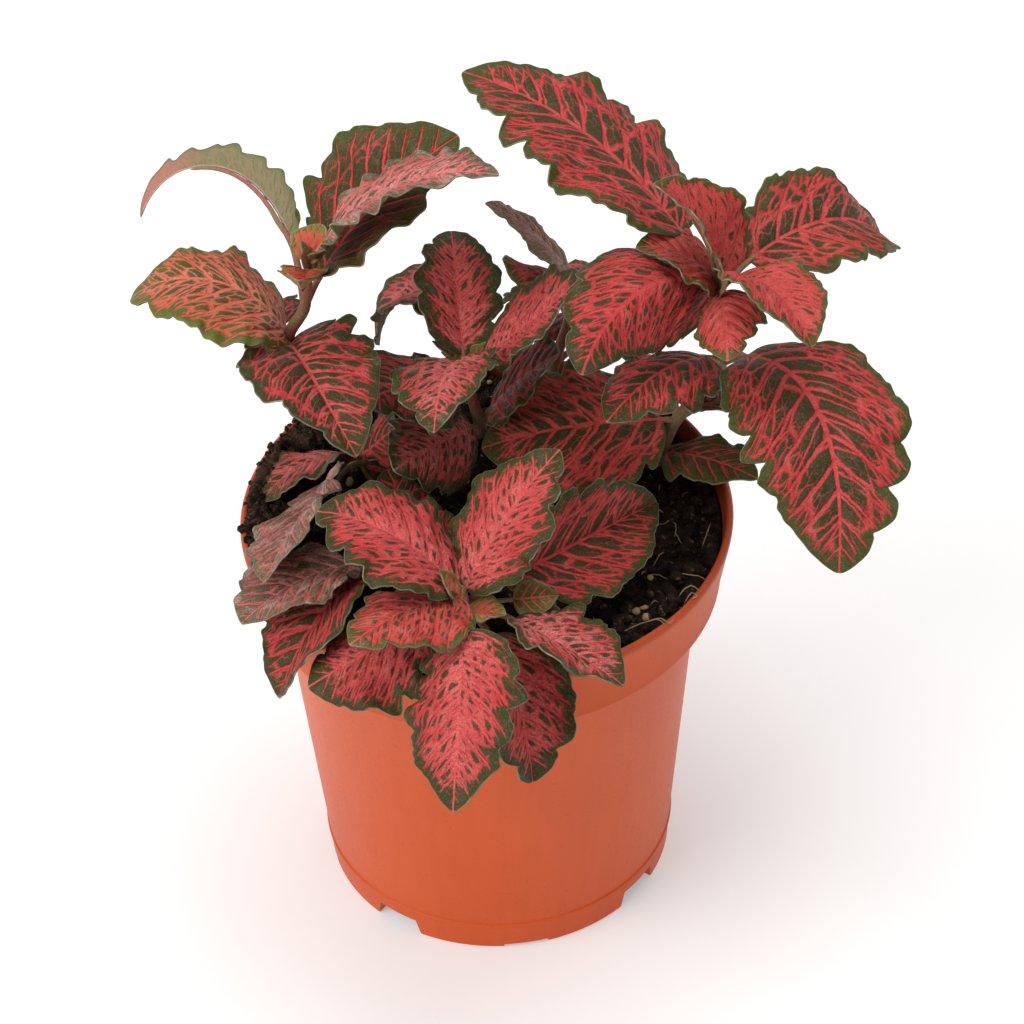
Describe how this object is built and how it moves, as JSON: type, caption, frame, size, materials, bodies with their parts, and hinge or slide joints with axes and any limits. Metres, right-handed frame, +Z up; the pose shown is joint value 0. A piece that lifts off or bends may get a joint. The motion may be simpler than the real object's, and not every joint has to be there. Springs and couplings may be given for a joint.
{
  "type": "potted foliage plant",
  "caption": "Low potted foliage plant: leafy stems with broad, scalloped, dark green leaves netted with red veins, in a tapered terracotta-coloured plastic pot with a deep rim band and soil.",
  "frame": {"origin": "centre of the pot's flat bottom", "axes": "+Z up along the pot's axis, -Y to the front of the plant, +X to its right"},
  "size_m": [0.1854, 0.1798, 0.2085],
  "materials": {
    "pot": "satin moulded plastic, terracotta colour",
    "soil": "rough dark potting soil",
    "leaf": "satin leaf, red veins on dark green"
  },
  "bodies": {
    "root": {"pot": "pot", "soil": "soil", "shoot_left": "leaf", "shoot_middle": "leaf", "shoot_right": "leaf", "shoot_front": "leaf", "shoot_rear": "leaf", "shoot_low_left": "leaf", "shoot_front_left": "leaf"}
  },
  "joints": []
}
